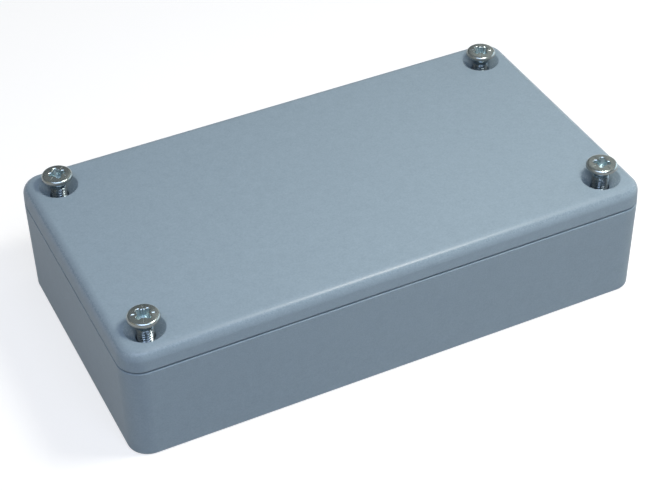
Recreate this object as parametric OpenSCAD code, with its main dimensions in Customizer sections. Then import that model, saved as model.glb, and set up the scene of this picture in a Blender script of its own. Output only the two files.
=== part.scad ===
// Small plastic enclosure: a base tray and a lid, held by four machine screws in brass inserts.
// X runs along the case, Y across it and Z up. The origin is in the middle of the underside.

/* [Case] */
// Outside length where the lid meets the base
case_length = 100; // [80:1:160]
// Outside width where the lid meets the base
case_width = 55; // [45:1:100]
// Height of the base, from the underside to the joint
base_height = 18.9; // [16:0.1:40]
// Height of the lid above the joint
lid_height = 4.2; // [3.8:0.1:7]
// Radius of the upright corners at the joint
corner_radius = 4.1; // [3.5:0.1:6]
// Thickness of the base's walls
wall = 2; // [1.5:0.1:2.6]
// Thickness of the base's floor
floor_thickness = 2; // [1.5:0.1:4]
// Thickness of the lid's plate
lid_plate = 2; // [1.5:0.1:2.8]
// Lean of the base's walls in degrees, so that the moulding leaves its tool
base_draft = 0.7; // [0:0.1:1.5]
// Lean of the lid's sides in degrees
lid_draft = 2.2; // [0:0.1:4]
// Rounding along the lid's top edge
lid_edge_radius = 1.9; // [0.8:0.1:2.6]
// Rounding along the underside's edge
foot_radius = 0.4; // [0.2:0.1:1]

/* [Joint between base and lid] */
// Height of the shadow gap that runs round the joint
seam_gap = 0.3; // [0.1:0.05:0.5]
// Depth of the shadow gap
seam_depth = 0.7; // [0.4:0.1:1.2]
// Rounding of the two lips along the shadow gap
lip_radius = 0.2; // [0.1:0.05:0.4]
// Depth that the lid's tongue reaches into the base
tongue_height = 1.6; // [0.8:0.1:3]
// Thickness of the tongue
tongue_thickness = 1.2; // [0.8:0.1:2]
// Clearance from the tongue to the base's walls and posts
tongue_clearance = 0.2; // [0.1:0.05:0.4]
// Bevel that leads the tongue in
tongue_bevel = 0.4; // [0.1:0.1:0.7]

/* [Board slots] */
// Number of slots along each long wall
slot_count = 3; // [1:1:4]
// Distance between slots along a long wall
slot_pitch = 24; // [12:1:30]
// Width of a slot, for a board 1.6 thick
slot_width = 1.8; // [1.2:0.1:2.6]
// Width of each rib beside a slot
rib_width = 1.2; // [0.8:0.1:2]
// Distance that a rib stands out from its wall
rib_depth = 1.5; // [1:0.1:3]
// Distance from the tongue's lower edge down to the ribs
rib_drop = 0.8; // [0.4:0.1:4]
// Bevel that leads a board into its slot
rib_bevel = 0.6; // [0.1:0.1:0.7]

/* [Screws] */
// Distance from the case's sides at the joint to each screw's axis
screw_inset = 6.1; // [5.8:0.1:8]
// Diameter of the screws' threads
screw_diameter = 3; // [2.5:0.1:3.5]
// Length of the screws below the head's rim
screw_length = 10; // [8:0.5:14]
// Bevel at the screws' tips
tip_bevel = 0.4; // [0.2:0.1:0.7]
// Diameter of the screws' raised countersunk heads
head_diameter = 5.6; // [5:0.1:6.2]
// Height of a head above the lower edge of its rim
head_height = 0.9; // [0.8:0.05:1.4]
// Height of a head's upright rim
head_side = 0.2; // [0.1:0.05:0.3]
// Rounding between a head's rim and its crown
shoulder_radius = 0.55; // [0.3:0.05:0.65]
// Width across the cross recess
recess_width = 3; // [2.4:0.1:3.4]
// Width of the cross recess at its bottom
recess_floor_width = 1.7; // [1.2:0.1:2.2]
// Depth of the cross recess
recess_depth = 1.3; // [0.8:0.1:1.6]
// Width of each wing of the cross recess
wing_width = 0.75; // [0.5:0.05:1]
// Width of the round core of the cross recess
core_width = 1.4; // [1:0.1:1.8]
// Rise of the front left head's rim above the lid
front_left_rise = 2.3; // [0:0.1:3.5]
// Rise of the front right head's rim above the lid
front_right_rise = 2.6; // [0:0.1:3.5]
// Rise of the back left head's rim above the lid
back_left_rise = 2; // [0:0.1:3.5]
// Rise of the back right head's rim above the lid
back_right_rise = 1.6; // [0:0.1:3.5]
// Turn of the front left screw in degrees
front_left_turn = 28; // [0:1:89]
// Turn of the front right screw in degrees
front_right_turn = 53; // [0:1:89]
// Turn of the back left screw in degrees
back_left_turn = 86; // [0:1:89]
// Turn of the back right screw in degrees
back_right_turn = 12; // [0:1:89]

/* [Screw holes and inserts] */
// Room round a head's rim in its countersink's mouth, and so the depth at which a driven head sits
head_room = 0.8; // [0.3:0.05:1]
// Rounding of a countersink's mouth
mouth_radius = 0.3; // [0.1:0.05:0.5]
// Clearance round a screw in the lid's hole
hole_clearance = 0.2; // [0.1:0.05:0.5]
// Clearance round a screw in its insert
thread_clearance = 0.05; // [0.02:0.01:0.1]
// Thickness of an insert's wall
insert_wall = 0.7; // [0.5:0.1:1]
// Length of an insert
insert_length = 5.8; // [4:0.1:8]
// Width of the collar at an insert's top
collar_width = 0.5; // [0.3:0.1:0.8]
// Height of the collar
collar_height = 0.7; // [0.4:0.1:1.2]
// Lead-in bevel at the top of an insert's bore
lead_bevel = 0.25; // [0.1:0.05:0.4]
// Plastic left round an insert's collar in its post
post_wall = 1.3; // [1:0.1:2]
// Plastic left round a countersink under the lid
pad_wall = 1.4; // [1:0.1:2]
// Room below a fully driven screw's tip
tip_room = 1; // [0.5:0.1:2]

/* [Hidden] */
$fn = 64;

PLASTIC = [0.53, 0.60, 0.66];
ZINC = [0.72, 0.74, 0.72];
BRASS = [0.78, 0.62, 0.33];

// Left and front are the negative sides
LEFT = -1;
RIGHT = 1;
FRONT = -1;
BACK = 1;

// Overlap that makes each cut run clear of the surface it opens
cut = 1;

// Heights
lid_top = base_height + lid_height;
driven_rim = lid_top - head_room;
driven_tip = driven_rim - screw_length;
insert_floor = base_height - insert_length;
rib_top = base_height - tongue_height - rib_drop;

// Plan
corner_x = case_length / 2 - corner_radius;
corner_y = case_width / 2 - corner_radius;
screw_x = case_length / 2 - screw_inset;
screw_y = case_width / 2 - screw_inset;
tongue_outer = wall + tongue_clearance;
lid_rim = tongue_outer + tongue_thickness;

// Round sizes
screw_radius = screw_diameter / 2;
head_radius = head_diameter / 2;
crown_rise = head_height - head_side;
shoulder_x = head_radius - shoulder_radius;
crown_radius = (shoulder_x ^ 2 + crown_rise ^ 2 - shoulder_radius ^ 2) / (2 * (crown_rise - shoulder_radius));
countersink_radius = head_radius + head_room;
hole_radius = screw_radius + hole_clearance;
insert_bore = screw_radius + thread_clearance;
insert_radius = insert_bore + insert_wall;
collar_radius = insert_radius + collar_width;
post_radius = collar_radius + post_wall;
pad_radius = countersink_radius + pad_wall;

function unit(v) = v / norm(v);

// Distance from a corner's centre line to a leaning wall, at height z
function base_side(z) = corner_radius - (base_height - z) * tan(base_draft);
function lid_side(z) = corner_radius - (z - base_height) * tan(lid_draft);

// What rounding takes off a profile's corner p, between its neighbours a and b
module corner_waste(p, a, b, radius) {
    to_a = unit(a - p);
    to_b = unit(b - p);
    half = acos(to_a * to_b) / 2;
    tangent = radius / tan(half);
    centre = p + unit(to_a + to_b) * radius / sin(half);
    kite = [p, p + to_a * tangent, centre, p + to_b * tangent];
    difference() {
        polygon([for (q = kite) centre + (q - centre) * (radius + cut) / radius]);
        translate(centre) circle(radius);
    }
}

// A solid whose profile runs round the case: profile x goes outward from the corners' centres
module round_case(low, high) {
    for (turn = [0, 180]) rotate(turn) {
        translate([-corner_x, corner_y, 0]) rotate([90, 0, 90])
            linear_extrude(2 * corner_x) children();
        translate([corner_x, corner_y, 0]) rotate([90, 0, 0])
            linear_extrude(2 * corner_y) children();
        translate([corner_x, corner_y, 0]) rotate_extrude(angle = 90) children();
        translate([-corner_x, corner_y, 0]) rotate(90) rotate_extrude(angle = 90) children();
    }
    translate([-corner_x, -corner_y, low]) cube([2 * corner_x, 2 * corner_y, high - low]);
}

// Repeats a shape at the four screws, mirrored so that its x and y point out of the case
module at_corners() {
    for (x = [LEFT, RIGHT], y = [FRONT, BACK])
        translate([x * screw_x, y * screw_y, 0])
            mirror([x == LEFT ? 1 : 0, 0, 0]) mirror([0, y == FRONT ? 1 : 0, 0]) children();
}

// A post that fills its corner of the case and is rounded towards the middle
module corner_block(radius, low, high) {
    at_corners() translate([0, 0, low]) {
        cylinder(r = radius, h = high - low);
        translate([-radius, 0, 0]) cube([radius + screw_inset, screw_inset, high - low]);
        translate([0, -radius, 0]) cube([screw_inset, radius + screw_inset, high - low]);
    }
}

module base_outline() {
    foot = [base_side(0), 0];
    lip = [base_side(base_height), base_height];
    axis_low = [0, 0];
    axis_high = [0, base_height];
    difference() {
        polygon([axis_low, foot, lip, axis_high]);
        corner_waste(foot, axis_low, lip, foot_radius);
        corner_waste(lip, foot, axis_high, lip_radius);
    }
}

module cavity_outline() {
    top = base_height + cut;
    polygon([
        [0, floor_thickness],
        [base_side(floor_thickness) - wall, floor_thickness],
        [base_side(top) - wall, top],
        [0, top]
    ]);
}

// A pair of upright ribs with a slot between them for a board's edge; y goes out to the wall
module board_slot(reach) {
    height = rib_top - floor_thickness + cut;
    for (side = [0, 1]) mirror([side, 0, 0])
        translate([slot_width / 2, reach, floor_thickness - cut]) rotate([90, 0, 0])
            linear_extrude(reach) polygon([
                [0, 0],
                [rib_width, 0],
                [rib_width, height],
                [rib_bevel, height],
                [0, height - rib_bevel]
            ]);
}

module board_slots() {
    reach = wall + rib_depth;
    for (turn = [0, 180]) rotate(turn) {
        for (i = [0 : slot_count - 1]) {
            slot_x = (i - (slot_count - 1) / 2) * slot_pitch;
            translate([slot_x, case_width / 2 - reach, 0]) board_slot(reach);
        }
        translate([case_length / 2 - reach, 0, 0]) rotate(-90) board_slot(reach);
    }
}

module insert_hole() {
    bore_floor = driven_tip - tip_room;
    translate([0, 0, bore_floor]) cylinder(r = hole_radius, h = base_height - bore_floor + cut);
    translate([0, 0, insert_floor]) cylinder(r = insert_radius, h = insert_length + cut);
    translate([0, 0, base_height - collar_height]) cylinder(r = collar_radius, h = collar_height + cut);
}

module base() {
    color(PLASTIC) difference() {
        round_case(0, base_height) base_outline();
        difference() {
            round_case(floor_thickness, base_height + cut) cavity_outline();
            corner_block(post_radius, floor_thickness - cut, base_height);
            board_slots();
        }
        at_corners() insert_hole();
    }
}

module lid_outline() {
    seam_top = base_height + seam_gap;
    seat = [corner_radius - seam_depth, base_height];
    seam_end = [corner_radius - seam_depth, seam_top];
    lip = [lid_side(seam_top), seam_top];
    shoulder = [lid_side(lid_top), lid_top];
    axis_low = [0, base_height];
    axis_high = [0, lid_top];
    difference() {
        polygon([axis_low, seat, seam_end, lip, shoulder, axis_high]);
        corner_waste(lip, seam_end, shoulder, lip_radius);
        corner_waste(shoulder, lip, axis_high, lid_edge_radius);
    }
}

module lid_pocket() {
    length = case_length - 2 * lid_rim;
    width = case_width - 2 * lid_rim;
    translate([-length / 2, -width / 2, base_height - cut])
        cube([length, width, lid_height - lid_plate + cut]);
}

module tongue_outline() {
    height = tongue_height + (lid_height - lid_plate) / 2;
    polygon([
        [0, 0],
        [tongue_thickness - tongue_bevel, 0],
        [tongue_thickness, tongue_bevel],
        [tongue_thickness, height],
        [0, height]
    ]);
}

// Four straight bars that locate the lid inside the base's walls, between the posts
module tongue() {
    long = 2 * (screw_x - post_radius - tongue_clearance);
    short = 2 * (screw_y - post_radius - tongue_clearance);
    for (turn = [0, 180]) rotate(turn) translate([0, 0, base_height - tongue_height]) {
        translate([-long / 2, case_width / 2 - lid_rim, 0]) rotate([90, 0, 90])
            linear_extrude(long) tongue_outline();
        translate([case_length / 2 - lid_rim, short / 2, 0]) rotate([90, 0, 0])
            linear_extrude(short) tongue_outline();
    }
}

// Half of a countersink at 45 degrees, with its mouth rounded out
module countersink_outline() {
    mouth = [countersink_radius, lid_top];
    throat = [hole_radius, lid_top - (countersink_radius - hole_radius)];
    polygon([[0, throat.y], throat, mouth, mouth + [0, cut], [0, lid_top + cut]]);
    corner_waste(mouth, throat, mouth + [cut, 0], mouth_radius);
}

module screw_hole() {
    translate([0, 0, base_height - cut]) cylinder(r = hole_radius, h = lid_height + 2 * cut);
    rotate_extrude() countersink_outline();
}

module lid() {
    color(PLASTIC) difference() {
        union() {
            difference() {
                round_case(base_height, lid_top) lid_outline();
                difference() {
                    lid_pocket();
                    corner_block(pad_radius, base_height - 2 * cut, lid_top);
                }
            }
            tongue();
        }
        at_corners() screw_hole();
    }
}

// Half of a head above its rim's lower edge: the rim, then a rounded shoulder that runs into a shallow crown
module head_outline() {
    shoulder_centre = [shoulder_x, head_side];
    crown_centre = [0, head_height - crown_radius];
    reach = 2 * crown_radius;
    intersection() {
        square([head_radius + cut, head_height + cut]);
        union() {
            square([head_radius, head_side]);
            translate(shoulder_centre) circle(shoulder_radius);
            intersection() {
                translate(crown_centre) circle(crown_radius);
                polygon([
                    crown_centre,
                    crown_centre + unit(shoulder_centre - crown_centre) * reach,
                    crown_centre + [0, reach]
                ]);
            }
        }
    }
}

module cross_recess() {
    half_mouth = recess_width / 2;
    half_floor = recess_floor_width / 2;
    for (turn = [0, 90]) rotate(turn) rotate([90, 0, 0])
        linear_extrude(wing_width, center = true) polygon([
            [-half_floor, head_height - recess_depth],
            [half_floor, head_height - recess_depth],
            [half_mouth, head_height],
            [half_mouth, head_height + cut],
            [-half_mouth, head_height + cut],
            [-half_mouth, head_height]
        ]);
    translate([0, 0, head_height - recess_depth]) cylinder(d = core_width, h = recess_depth + cut);
}

// A screw whose head's rim stands at the given rise above the lid, with a 45 degree underside
module screw_at(x, y, rise, turn) {
    color(ZINC) translate([x * screw_x, y * screw_y, lid_top + rise]) rotate(turn) difference() {
        union() {
            rotate_extrude() head_outline();
            rotate_extrude() polygon([
                [0, -screw_length],
                [screw_radius - tip_bevel, -screw_length],
                [screw_radius, tip_bevel - screw_length],
                [screw_radius, screw_radius - head_radius],
                [head_radius, 0],
                [shoulder_x, head_side / 2],
                [0, head_side / 2]
            ]);
        }
        cross_recess();
    }
}

module insert_at(x, y) {
    color(BRASS) translate([x * screw_x, y * screw_y, 0]) rotate_extrude() polygon([
        [insert_bore, insert_floor],
        [insert_radius, insert_floor],
        [insert_radius, base_height - collar_height],
        [collar_radius, base_height - collar_height],
        [collar_radius, base_height],
        [insert_bore + lead_bevel, base_height],
        [insert_bore, base_height - lead_bevel]
    ]);
}

module screw_front_left() { screw_at(LEFT, FRONT, front_left_rise, front_left_turn); }
module screw_front_right() { screw_at(RIGHT, FRONT, front_right_rise, front_right_turn); }
module screw_back_left() { screw_at(LEFT, BACK, back_left_rise, back_left_turn); }
module screw_back_right() { screw_at(RIGHT, BACK, back_right_rise, back_right_turn); }

module insert_front_left() { insert_at(LEFT, FRONT); }
module insert_front_right() { insert_at(RIGHT, FRONT); }
module insert_back_left() { insert_at(LEFT, BACK); }
module insert_back_right() { insert_at(RIGHT, BACK); }

base();
lid();
screw_front_left();
screw_front_right();
screw_back_left();
screw_back_right();
insert_front_left();
insert_front_right();
insert_back_left();
insert_back_right();
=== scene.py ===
import math

import bpy
from mathutils import Matrix, Vector


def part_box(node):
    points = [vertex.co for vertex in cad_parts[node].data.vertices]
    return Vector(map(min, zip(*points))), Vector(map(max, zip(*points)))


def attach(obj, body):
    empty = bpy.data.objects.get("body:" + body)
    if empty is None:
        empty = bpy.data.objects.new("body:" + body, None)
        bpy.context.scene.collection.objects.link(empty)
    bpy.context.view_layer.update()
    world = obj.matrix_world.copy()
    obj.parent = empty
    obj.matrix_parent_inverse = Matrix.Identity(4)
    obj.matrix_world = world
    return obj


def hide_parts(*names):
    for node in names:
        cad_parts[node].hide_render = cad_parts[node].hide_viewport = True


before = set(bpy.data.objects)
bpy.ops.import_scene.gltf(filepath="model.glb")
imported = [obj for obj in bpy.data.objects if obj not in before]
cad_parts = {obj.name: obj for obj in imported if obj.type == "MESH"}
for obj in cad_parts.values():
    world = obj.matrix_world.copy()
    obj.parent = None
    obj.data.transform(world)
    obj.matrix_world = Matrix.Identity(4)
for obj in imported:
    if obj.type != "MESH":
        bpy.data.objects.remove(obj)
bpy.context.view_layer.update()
scene = bpy.context.scene
scene.view_settings.view_transform = "Standard"

# Sizes are in millimetres unless a comment says otherwise
MM = 0.001

# The photograph's frame and the lens fitted to it, in pixels
PHOTO_WIDTH = 666
PHOTO_HEIGHT = 491
FOCAL_PIXELS = 1726.2
CENTRE_PIXEL = (295.5, 226.0)
# Width of the camera's sensor
SENSOR = 36.0

# Where the camera stands, looking at the middle of the underside; distances in metres
CAMERA_AZIMUTH = math.radians(-23.98)
CAMERA_ELEVATION = math.radians(38.95)
CAMERA_ROLL = math.radians(-2.07)
CAMERA_DISTANCE = 0.3256
CAMERA_OFFSET = (-0.00655, 0.00993)
CAMERA_NEAR = 0.01

# Screws: M3, with a raised countersunk head and a cross recess, measured from the rim's lower edge
SCREW_LENGTH = 10.0
THREAD_RADIUS = 1.5
THREAD_PITCH = 0.5
THREAD_DEPTH = 0.29
THREAD_START = 1.75
NECK_RADIUS = 1.32
NECK_FILLET = 0.3
TIP_BEVEL = 0.4
HEAD_RADIUS = 2.8
HEAD_HEIGHT = 0.9
HEAD_SIDE = 0.2
SHOULDER_RADIUS = 0.55
RIM_EDGE = 0.08
CONE_ANGLE = math.radians(45)
RECESS_DEPTH = 1.3
RECESS_LIP = 0.22
# Half of a thread's crest and the whole of a flank, as shares of the pitch
CREST_SHARE = 1 / 16
FLANK_SHARE = 5 / 16
# Half length, half width and core radius of the recess, at its mouth and at its floor
RECESS_MOUTH = (1.52, 0.42, 1.00)
RECESS_FLOOR = (0.95, 0.36, 0.78)
# Depth of a wing's rounded end as a share of its half width
END_ROUNDING = 0.7
# Grooves between the wings, in the core and on the crown
NOTCH_DEPTH = 0.16
TICK_INNER = 1.3
TICK_OUTER = 2.1
TICK_DEPTH = 0.08
# Turn of each screw in degrees
SCREW_TURNS = {"front_left": 28, "front_right": 53, "back_left": 86, "back_right": 12}
# Name of the mesh attribute that is 1 inside the recess
RECESS_MARK = "recess"

# Inserts, measured from their top
INSERT_BORE = 1.55
INSERT_BARREL = 2.25
INSERT_COLLAR = 2.75
COLLAR_HEIGHT = 0.7
COLLAR_BEVEL = 0.06
LEAD_BEVEL = 0.25
BORE_THREAD_DEPTH = 0.2
KNURL_TEETH = 24
KNURL_DEPTH = 0.1
# Top and bottom of each knurled band, and its twist in teeth per millimetre
KNURL_BANDS = ((0.9, 2.8, 1), (3.5, 5.3, -1))

# Steps round a quarter of the recess: a wing's end, each flank and the core between two wings
END_STEPS = 6
FLANK_STEPS = 6
CORE_STEPS = 8
QUARTER_STEPS = END_STEPS + 2 * FLANK_STEPS + CORE_STEPS
ROUND_STEPS = 4 * QUARTER_STEPS
# Steps along a screw's shoulder, its small roundings, a knurled band and one turn of a thread
SHOULDER_STEPS = 10
BEND_STEPS = 4
KNURL_STEPS = 8
THREAD_STEPS = 10
# Where the rings lie, from 0 to 1, across the recess's lip and from there to the crown's rim
LIP_SHARES = (0, 0.3, 0.7, 1)
CROWN_SHARES = (0.15, 0.3, 0.45, 0.6, 0.75, 0.9, 1)
SMOOTH_ANGLE = math.radians(32)

# Part of a noise's range that holds nearly all of its values
NOISE_RANGE = (0.3, 0.7)
WHITE = (1, 1, 1, 1)

# Floor and light, in metres: a level of 1 shows a colour as it is written
FLOOR_SIZE = 6.0
FLOOR_DROP = 0.00005
FLOOR_COLOUR = (0.5, 0.5, 0.5)
FLOOR_ROUGHNESS = 0.9
FLOOR_GLOW = 0.64
# Each lamp's direction from the origin, its distance, width and height, its level and its colour
LAMPS = {
    "key": (Vector((-0.115, -0.2315, 0.395)), 0.47, (0.44, 0.16), 0.465, (0.65, 0.76, 1.0)),
    "side": (Vector((0.066, -0.065, 0.20)), 0.22, (0.05, 0.05), 0.525, (1.0, 0.965, 0.865)),
    "back": (Vector((0.95, 0.42, 0.50)), 0.70, (0.90, 0.90), 0.10, (1.0, 0.95, 0.85)),
    "low": (Vector((0.95, 0.00, 0.24)), 0.70, (0.60, 0.30), 0.17, (0.72, 0.88, 1.0)),
    "fill": (Vector((-0.90, -0.10, 0.35)), 0.60, (0.40, 0.40), 0.045, (1.0, 0.75, 0.40)),
}
# A pale backdrop low in the surroundings: its level, and the sines of the heights where it fades out
BACKDROP_LEVEL = 0.85
BACKDROP_FADE = (0.06, 0.15)
# The surroundings' level by the sine of the height above the horizon
SURROUNDINGS = ((0.0, 0.03), (0.3, 0.12), (0.7, 0.22), (0.9, 0.20))


def add_camera():
    """A camera at the photograph's viewing angle, with the photograph's framing."""
    a, e = CAMERA_AZIMUTH, CAMERA_ELEVATION
    back = Vector((math.sin(a) * math.cos(e), -math.cos(a) * math.cos(e), math.sin(e)))
    level = Vector((math.cos(a), math.sin(a), 0))
    above = back.cross(level)
    c, s = math.cos(CAMERA_ROLL), math.sin(CAMERA_ROLL)
    right = c * level + s * above
    up = c * above - s * level
    place = CAMERA_OFFSET[0] * right + CAMERA_OFFSET[1] * up + CAMERA_DISTANCE * back
    data = bpy.data.cameras.new("camera")
    data.sensor_width = SENSOR
    data.lens = FOCAL_PIXELS / PHOTO_WIDTH * SENSOR
    data.shift_x = (PHOTO_WIDTH / 2 - CENTRE_PIXEL[0]) / PHOTO_WIDTH
    data.shift_y = (CENTRE_PIXEL[1] - PHOTO_HEIGHT / 2) / PHOTO_WIDTH
    data.clip_start = CAMERA_NEAR
    camera = bpy.data.objects.new("camera", data)
    camera.matrix_world = Matrix.Translation(place) @ Matrix((right, up, back)).transposed().to_4x4()
    scene.collection.objects.link(camera)
    scene.camera = camera


def add_node(tree, kind, inputs=None, **settings):
    """A shader node with its settings; an input given as a socket is linked, any other is a value."""
    node = tree.nodes.new(kind)
    for name, value in settings.items():
        setattr(node, name, value)
    for name, value in (inputs or {}).items():
        if isinstance(value, bpy.types.NodeSocket):
            tree.links.new(value, node.inputs[name])
        else:
            node.inputs[name].default_value = value
    return node


def math_node(tree, operation, *values):
    """The result of an operation on sockets and numbers."""
    return add_node(tree, "ShaderNodeMath", dict(enumerate(values)), operation=operation).outputs[0]


def mix_colours(tree, share, first, second):
    """A colour between two, by the second one's share."""
    inputs = {"Fac": share, "Color1": first, "Color2": second}
    return add_node(tree, "ShaderNodeMixRGB", inputs).outputs["Color"]


def noise(tree, place, size, detail):
    """A noise between 0 and 1 whose features are that many millimetres across."""
    inputs = {"Vector": place, "Scale": 1 / (size * MM), "Detail": detail}
    return add_node(tree, "ShaderNodeTexNoise", inputs).outputs["Fac"]


def map_range(tree, value, start, end, at_start, at_end):
    """A value that goes from at_start to at_end while the given one goes from start to end."""
    inputs = {"Value": value, "From Min": start, "From Max": end, "To Min": at_start, "To Max": at_end}
    return add_node(tree, "ShaderNodeMapRange", inputs).outputs["Result"]


def spread(tree, value, low, high):
    """Stretches the middle of a noise over the range from low to high."""
    return map_range(tree, value, *NOISE_RANGE, low, high)


def two_tones(tree, value, dark, light):
    """A colour between two tones, by a noise."""
    ramp = add_node(tree, "ShaderNodeValToRGB", {"Fac": value})
    for element, position, tone in zip(ramp.color_ramp.elements, NOISE_RANGE, (dark, light)):
        element.position = position
        element.color = (*tone, 1)
    return ramp.outputs["Color"]


def bump(tree, height, depth, strength):
    """A surface's normal with a relief of that depth in millimetres."""
    inputs = {"Height": height, "Distance": depth * MM, "Strength": strength}
    return add_node(tree, "ShaderNodeBump", inputs).outputs["Normal"]


def level_share(tree, normal):
    """1 on level surfaces and 0 on upright ones: the square of the normal's upright part."""
    z = add_node(tree, "ShaderNodeSeparateXYZ", {"Vector": normal}).outputs["Z"]
    return math_node(tree, "MULTIPLY", z, z)


def slope(tree, normal):
    """1 on surfaces at 45 degrees, and 0 on level and upright ones."""
    level = level_share(tree, normal)
    upright = math_node(tree, "SUBTRACT", 1.0, level)
    return math_node(tree, "MULTIPLY", math_node(tree, "MULTIPLY", level, upright), 4.0)


def steepness(tree, normal):
    """1 on upright surfaces, falling early to 0 on level ones."""
    upright = math_node(tree, "SUBTRACT", 1.0, level_share(tree, normal))
    return math_node(tree, "POWER", upright, 2.0)


def new_material(name):
    """A material with its node tree and its shader."""
    material = bpy.data.materials.new(name)
    material.use_nodes = True
    return material, material.node_tree, material.node_tree.nodes["Principled BSDF"]


def link_surface(tree, shader, colour, roughness, normal):
    """Gives a shader its colour, roughness and relief."""
    tree.links.new(colour, shader.inputs["Base Color"])
    tree.links.new(roughness, shader.inputs["Roughness"])
    tree.links.new(normal, shader.inputs["Normal"])


def plastic_material():
    """Blue-grey moulded plastic with a fine spark-eroded grain, smoother on its rounded edges."""
    cloud_share = 0.3
    edge_polish = 0.30
    material, tree, shader = new_material("case_plastic")
    coordinates = add_node(tree, "ShaderNodeTexCoord").outputs
    grain = noise(tree, coordinates["Object"], size=0.28, detail=4.0)
    clouds = noise(tree, coordinates["Object"], size=1.4, detail=6.0)
    inputs = {"Factor": cloud_share, "A": grain, "B": clouds}
    mottle = add_node(tree, "ShaderNodeMix", inputs).outputs["Result"]
    colour = two_tones(tree, mottle, dark=(0.254, 0.329, 0.385), light=(0.306, 0.391, 0.455))
    faces = spread(tree, grain, low=0.53, high=0.59)
    roughness = math_node(tree, "MULTIPLY_ADD", slope(tree, coordinates["Normal"]), -edge_polish, faces)
    link_surface(tree, shader, colour, roughness, bump(tree, grain, depth=0.02, strength=0.35))
    shader.inputs["IOR"].default_value = 1.5
    shader.inputs["Specular IOR Level"].default_value = 0.35
    return material


def zinc_material():
    """Zinc plating on a head, a little uneven, duller in the recess and dull on the rim; its lighter, bluer
    tone in the recess is painted light, and its darker tone on the rim is painted shade.
    """
    # The rim's darker tone is painted shade on the head's upright surfaces.
    painted_rim_shade = (0.24, 0.255, 0.25)
    rim_dullness = 0.22
    recess_dullness = 0.2
    material, tree, shader = new_material("zinc_plating")
    coordinates = add_node(tree, "ShaderNodeTexCoord").outputs
    grain = noise(tree, coordinates["Object"], size=0.12, detail=4.0)
    clouds = noise(tree, coordinates["Object"], size=1.1, detail=3.0)
    rim = steepness(tree, coordinates["Normal"])
    recess = add_node(tree, "ShaderNodeAttribute", attribute_name=RECESS_MARK).outputs["Fac"]
    crown = two_tones(tree, clouds, dark=(0.47, 0.56, 0.57), light=(0.57, 0.65, 0.65))
    # A lighter, bluer copy of the crown's tones: painted light in the recess.
    inside = two_tones(tree, clouds, dark=(0.46, 0.58, 0.61), light=(0.58, 0.68, 0.71))
    # Painted shade on the rim, then painted light in the recess.
    outside = mix_colours(tree, rim, crown, (*painted_rim_shade, 1))
    colour = mix_colours(tree, recess, outside, inside)
    dullness = math_node(tree, "MAXIMUM", math_node(tree, "MULTIPLY", recess, recess_dullness),
                         math_node(tree, "MULTIPLY", rim, rim_dullness))
    roughness = math_node(tree, "ADD", spread(tree, grain, low=0.17, high=0.28), dullness)
    link_surface(tree, shader, colour, roughness, bump(tree, grain, depth=0.01, strength=0.15))
    shader.inputs["Metallic"].default_value = 1.0
    return material


def plain_metal(name, grain_size, cloud_size, tones, roughness, relief):
    """A metal that is a little uneven in tone and polish."""
    material, tree, shader = new_material(name)
    place = add_node(tree, "ShaderNodeTexCoord").outputs["Object"]
    grain = noise(tree, place, grain_size, detail=4.0)
    clouds = noise(tree, place, cloud_size, detail=3.0)
    link_surface(tree, shader, two_tones(tree, clouds, *tones), spread(tree, grain, *roughness),
                 bump(tree, grain, depth=0.01, strength=relief))
    shader.inputs["Metallic"].default_value = 1.0
    return material


def shaded_shank_material():
    """Zinc plating on a neck and thread, in darker, bluer tones that are painted shade and a painted
    reflection.
    """
    # Tones darker and bluer than the head's: painted shade and a painted reflection.
    return plain_metal("zinc_painted_shade", grain_size=0.12, cloud_size=0.8, roughness=(0.22, 0.34), relief=0.15,
                       tones=((0.20, 0.25, 0.28), (0.32, 0.38, 0.42)))


def brass_material():
    """Turned brass."""
    return plain_metal("turned_brass", grain_size=0.15, cloud_size=1.5, roughness=(0.22, 0.36), relief=0.2,
                       tones=((0.66, 0.45, 0.19), (0.76, 0.55, 0.26)))


def loft(name, rings, material, closed=False):
    """A mesh through rings of equally many points: closed into a loop, or capped at both ends."""
    count = len(rings[0])
    points = [p * MM for ring in rings for p in ring]
    spans = len(rings) if closed else len(rings) - 1
    faces = []
    for k in range(spans):
        this, following = k * count, (k + 1) % len(rings) * count
        for i in range(count):
            j = (i + 1) % count
            faces.append((this + i, following + i, following + j, this + j))
    if not closed:
        for ring, start, flip in ((rings[0], 0, False), (rings[-1], (len(rings) - 1) * count, True)):
            middle = len(points)
            points.append(sum(ring, Vector((0, 0, 0))) / count * MM)
            for i in range(count):
                j = (i + 1) % count
                faces.append((middle, start + j, start + i) if flip else (middle, start + i, start + j))
    mesh = bpy.data.meshes.new(name)
    mesh.from_pydata(points, [], faces)
    mesh.validate()
    mesh.shade_smooth()
    mesh.set_sharp_from_angle(angle=SMOOTH_ANGLE)
    mesh.materials.append(material)
    return mesh


def round_angle(i):
    """The angle of point i on a round ring; the first wing's middle is at zero."""
    return (i - END_STEPS / 2) * 2 * math.pi / ROUND_STEPS


def round_ring(radius, z):
    """A ring of points; the radius is a number, or a function of the angle."""
    ring = []
    for i in range(ROUND_STEPS):
        a = round_angle(i)
        r = radius(a) if callable(radius) else radius
        ring.append(Vector((r * math.cos(a), r * math.sin(a), z)))
    return ring


def thread_sunk(z, a):
    """Depth of a thread below its crest, from 0 to 1, at a height and an angle."""
    phase = z / THREAD_PITCH - a / (2 * math.pi)
    off_crest = abs((phase + 0.5) % 1 - 0.5)
    return min(max((off_crest - CREST_SHARE) / FLANK_SHARE, 0), 1)


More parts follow.
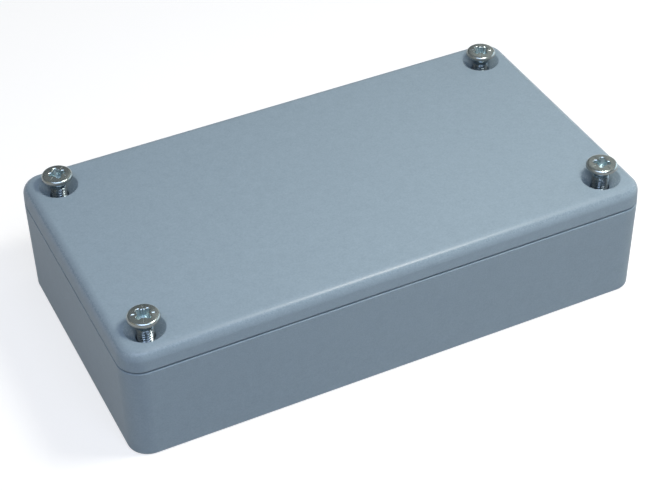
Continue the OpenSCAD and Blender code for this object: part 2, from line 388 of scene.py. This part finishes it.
def recess_outline(half_length, half_width, core):
    """Points round a recess with four wings, from one corner of the first wing's end."""
    inner = math.sqrt(core ** 2 - half_width ** 2)
    start = math.asin(half_width / core)
    depth = END_ROUNDING * half_width
    flank = half_length - depth
    quarter = []
    for k in range(END_STEPS):
        a = math.pi * (k / END_STEPS - 0.5)
        quarter.append(Vector((flank + depth * math.cos(a), half_width * math.sin(a))))
    for k in range(FLANK_STEPS):
        quarter.append(Vector((flank + (inner - flank) * k / FLANK_STEPS, half_width)))
    for k in range(CORE_STEPS):
        a = start + (math.pi / 2 - 2 * start) * k / CORE_STEPS
        r = core + (NOTCH_DEPTH if k == CORE_STEPS / 2 else 0)
        quarter.append(Vector((r * math.cos(a), r * math.sin(a))))
    for k in range(FLANK_STEPS):
        quarter.append(Vector((half_width, inner + (flank - inner) * k / FLANK_STEPS)))
    return [Matrix.Rotation(turn * math.pi / 2, 2) @ p for turn in range(4) for p in quarter]


def recess_rings(crown):
    """Rings up the recess's walls and over its rounded lip; crown gives the head's height at a radius."""
    floor = HEAD_HEIGHT - RECESS_DEPTH
    rings = [[p.to_3d() + Vector((0, 0, floor)) for p in recess_outline(*RECESS_FLOOR)]]
    for share in LIP_SHARES:
        outline = recess_outline(*(size + RECESS_LIP * share ** 2 for size in RECESS_MOUTH))
        sunk = RECESS_LIP * (1 - share) ** 2
        rings.append([p.to_3d() + Vector((0, 0, crown(p.length) - sunk)) for p in outline])
    return rings


def crown_rings(edge, rim_radius, crown):
    """Rings over the crown from the recess's edge to a round rim, with a tick between each two wings."""
    rings = []
    rim = round_ring(rim_radius, 0)
    for share in CROWN_SHARES:
        ring = []
        for i in range(ROUND_STEPS):
            p = edge[i].to_2d().lerp(rim[i].to_2d(), share)
            between_wings = i % QUARTER_STEPS == END_STEPS + FLANK_STEPS + CORE_STEPS // 2
            ticked = between_wings and TICK_INNER < p.length < TICK_OUTER
            ring.append(p.to_3d() + Vector((0, 0, crown(p.length) - (TICK_DEPTH if ticked else 0))))
        rings.append(ring)
    return rings


def head_rings():
    """Rings from the recess's floor over the crown and the rounded shoulder to the upright side."""
    shoulder_x = HEAD_RADIUS - SHOULDER_RADIUS
    rise = HEAD_HEIGHT - HEAD_SIDE
    crown_radius = (shoulder_x ** 2 + rise ** 2 - SHOULDER_RADIUS ** 2) / (2 * (rise - SHOULDER_RADIUS))
    crown_low = HEAD_HEIGHT - crown_radius
    lean = math.atan2(HEAD_SIDE - crown_low, shoulder_x)

    def crown(r):
        return crown_low + math.sqrt(crown_radius ** 2 - r ** 2)

    rings = recess_rings(crown)
    rings += crown_rings(rings[-1], crown_radius * math.cos(lean), crown)
    for k in range(1, SHOULDER_STEPS + 1):
        a = lean * (1 - k / SHOULDER_STEPS)
        radius = shoulder_x + SHOULDER_RADIUS * math.cos(a)
        rings.append(round_ring(radius, HEAD_SIDE + SHOULDER_RADIUS * math.sin(a)))
    return rings


def bend_angles():
    """Angles along a rounding between an upright surface and the head's cone."""
    return [CONE_ANGLE * k / BEND_STEPS for k in range(BEND_STEPS + 1)]


def rim_rings():
    """Rings round the rim's lower edge, where the side meets the cone."""
    top = RIM_EDGE * math.tan(CONE_ANGLE / 2)
    rings = []
    for a in bend_angles():
        radius = HEAD_RADIUS - RIM_EDGE * (1 - math.cos(a))
        rings.append(round_ring(radius, top - RIM_EDGE * math.sin(a)))
    return rings


def neck_rings():
    """Rings down the fillet between the cone and the neck."""
    low = NECK_RADIUS - HEAD_RADIUS - NECK_FILLET * math.tan(CONE_ANGLE / 2)
    rings = []
    for a in reversed(bend_angles()):
        radius = NECK_RADIUS + NECK_FILLET * (1 - math.cos(a))
        rings.append(round_ring(radius, low + NECK_FILLET * math.sin(a)))
    return rings


def thread_rings():
    """Rings down the thread, from the neck to the bevelled tip."""
    def radius_at(z):
        tip = THREAD_RADIUS - max(0, TIP_BEVEL - (SCREW_LENGTH + z))
        fade = min(1, (-z - THREAD_START) / THREAD_PITCH)

        def radius(a):
            thread = THREAD_RADIUS - THREAD_DEPTH * thread_sunk(z, a)
            return min(tip, NECK_RADIUS + (thread - NECK_RADIUS) * fade)
        return radius

    length = SCREW_LENGTH - THREAD_START
    count = round(length / THREAD_PITCH * THREAD_STEPS)
    heights = [-THREAD_START - length * k / count for k in range(count + 1)]
    return [round_ring(radius_at(z), z) for z in heights]


def screw_mesh(head_finish, neck_and_thread_shaded):
    """A countersunk machine screw: recess, head, neck and thread as one loft, with the neck and thread in a
    darker material of painted shade.
    """
    rings = head_rings() + rim_rings()
    shank_start = len(rings)
    rings += neck_rings() + thread_rings()
    mesh = loft("screw", rings, head_finish)
    mesh.materials.append(neck_and_thread_shaded)
    sides = [int(k >= shank_start) for k in range(len(rings) - 1) for _ in range(ROUND_STEPS)]
    floor_cap, tip_cap = [0] * ROUND_STEPS, [1] * ROUND_STEPS
    mesh.polygons.foreach_set("material_index", sides + floor_cap + tip_cap)
    # The recess has the first two rings and the middle of the first cap
    walls, floor_middle = 2 * ROUND_STEPS, len(rings) * ROUND_STEPS
    marks = [float(i < walls or i == floor_middle) for i in range(len(mesh.vertices))]
    mesh.attributes.new(RECESS_MARK, "FLOAT", "POINT").data.foreach_set("value", marks)
    return mesh


def collar_rings():
    """Rings over an insert's collar, from its top to the barrel."""
    return [
        round_ring(INSERT_COLLAR - COLLAR_BEVEL, 0),
        round_ring(INSERT_COLLAR, -COLLAR_BEVEL),
        round_ring(INSERT_COLLAR, -COLLAR_HEIGHT),
        round_ring(INSERT_BARREL - KNURL_DEPTH, -COLLAR_HEIGHT),
    ]


def barrel_rings(length):
    """Rings down an insert's barrel, with its knurled bands."""
    def knurl(z, twist):
        def radius(a):
            tooth = (KNURL_TEETH * a / (2 * math.pi) + twist * z) % 1
            return INSERT_BARREL - KNURL_DEPTH * abs(2 * tooth - 1)
        return radius

    plain = INSERT_BARREL - KNURL_DEPTH
    rings = []
    for top, low, twist in KNURL_BANDS:
        heights = [-top - (low - top) * k / KNURL_STEPS for k in range(KNURL_STEPS + 1)]
        rings.append(round_ring(plain, -top))
        rings += [round_ring(knurl(z, twist), z) for z in heights]
        rings.append(round_ring(plain, -low))
    rings.append(round_ring(plain, -length))
    return rings


def bore_rings(length):
    """Rings up an insert's threaded bore to the bevel at its top."""
    def radius_at(z):
        return lambda a: INSERT_BORE + BORE_THREAD_DEPTH * thread_sunk(z, a)

    threaded = length - LEAD_BEVEL
    count = round(threaded / THREAD_PITCH * THREAD_STEPS)
    heights = [-length + threaded * k / count for k in range(count + 1)]
    rings = [round_ring(radius_at(z), z) for z in heights]
    rings.append(round_ring(INSERT_BORE + LEAD_BEVEL, 0))
    return rings


def insert_mesh(material, length):
    """A threaded insert: collar, knurled barrel and a bore with a thread cut outward from it."""
    return loft("insert", collar_rings() + barrel_rings(length) + bore_rings(length), material, closed=True)


def place_piece(name, mesh, at, turn, body, node):
    """A piece at a point, turned by degrees about its axis, that stands for a node."""
    piece = bpy.data.objects.new(name, mesh)
    scene.collection.objects.link(piece)
    piece.matrix_world = Matrix.Translation(at) @ Matrix.Rotation(math.radians(turn), 4, "Z")
    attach(piece, body)
    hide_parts(node)


def add_screws():
    """A screw in each corner, with its tip where its node's tip is."""
    mesh = screw_mesh(zinc_material(), shaded_shank_material())
    for corner, turn in SCREW_TURNS.items():
        node = "screw_" + corner
        low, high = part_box(node)
        middle = (low + high) / 2
        at = Vector((middle.x, middle.y, low.z + SCREW_LENGTH * MM))
        place_piece("machine_" + node, mesh, at, turn, node, node)


def add_inserts():
    """An insert under each screw, as long as its node."""
    material = brass_material()
    mesh = None
    for corner in SCREW_TURNS:
        node = "insert_" + corner
        low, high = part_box(node)
        mesh = mesh or insert_mesh(material, (high.z - low.z) / MM)
        middle = (low + high) / 2
        at = Vector((middle.x, middle.y, high.z))
        place_piece("threaded_" + node, mesh, at, 0, "base", node)


def dress_case():
    """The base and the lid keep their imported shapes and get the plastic."""
    material = plastic_material()
    for node in ("base", "lid"):
        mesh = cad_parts[node].data
        mesh.materials.clear()
        mesh.materials.append(material)


def seen_directly(tree):
    """1 for rays from the camera, a reflection or a transmission, and 0 for light."""
    path = add_node(tree, "ShaderNodeLightPath").outputs
    shown = math_node(tree, "MAXIMUM", path["Is Camera Ray"], path["Is Glossy Ray"])
    return math_node(tree, "MAXIMUM", shown, path["Is Transmission Ray"])


def add_floor():
    """A pale floor that shows as white where it is fully lit, and keeps the shadow."""
    material, tree, shader = new_material("floor_white")
    shader.inputs["Base Color"].default_value = (*FLOOR_COLOUR, 1)
    shader.inputs["Roughness"].default_value = FLOOR_ROUGHNESS
    shader.inputs["Specular IOR Level"].default_value = 0.0
    shader.inputs["Emission Color"].default_value = WHITE
    glow = math_node(tree, "MULTIPLY", seen_directly(tree), FLOOR_GLOW)
    tree.links.new(glow, shader.inputs["Emission Strength"])
    half = FLOOR_SIZE / 2
    mesh = bpy.data.meshes.new("floor")
    corners = [(-half, -half, 0), (half, -half, 0), (half, half, 0), (-half, half, 0)]
    mesh.from_pydata(corners, [], [(0, 1, 2, 3)])
    mesh.materials.append(material)
    floor = bpy.data.objects.new("floor", mesh)
    floor.location.z = -FLOOR_DROP
    scene.collection.objects.link(floor)


def add_lamp(name, direction, distance, size, level, colour):
    """A soft box that faces the origin and gives that level there."""
    data = bpy.data.lights.new(name, "AREA")
    data.shape = "RECTANGLE"
    data.size, data.size_y = size
    data.energy = level * (math.pi * distance) ** 2
    data.color = colour
    lamp = bpy.data.objects.new(name, data)
    lamp.location = direction.normalized() * distance
    lamp.rotation_euler = direction.to_track_quat("Z", "Y").to_euler()
    scene.collection.objects.link(lamp)


def add_world():
    """A studio's surroundings, lighter overhead, with a backdrop that shows but gives no light."""
    world = bpy.data.worlds.new("studio")
    scene.world = world
    world.use_nodes = True
    tree = world.node_tree
    up = add_node(tree, "ShaderNodeTexCoord").outputs["Generated"]
    height = add_node(tree, "ShaderNodeSeparateXYZ", {"Vector": up}).outputs["Z"]
    ramp = add_node(tree, "ShaderNodeValToRGB", {"Fac": height})
    elements = ramp.color_ramp.elements
    while len(elements) < len(SURROUNDINGS):
        elements.new(1.0)
    for element, (position, level) in zip(elements, SURROUNDINGS):
        element.position = position
        element.color = (level, level, level, 1)
    backdrop = map_range(tree, height, *BACKDROP_FADE, BACKDROP_LEVEL, 0.0)
    shown = math_node(tree, "MULTIPLY", backdrop, seen_directly(tree))
    colour = mix_colours(tree, shown, ramp.outputs["Color"], WHITE)
    tree.links.new(colour, tree.nodes["Background"].inputs["Color"])


add_camera()
dress_case()
add_screws()
add_inserts()
add_floor()
for name, lamp in LAMPS.items():
    add_lamp(name, *lamp)
add_world()
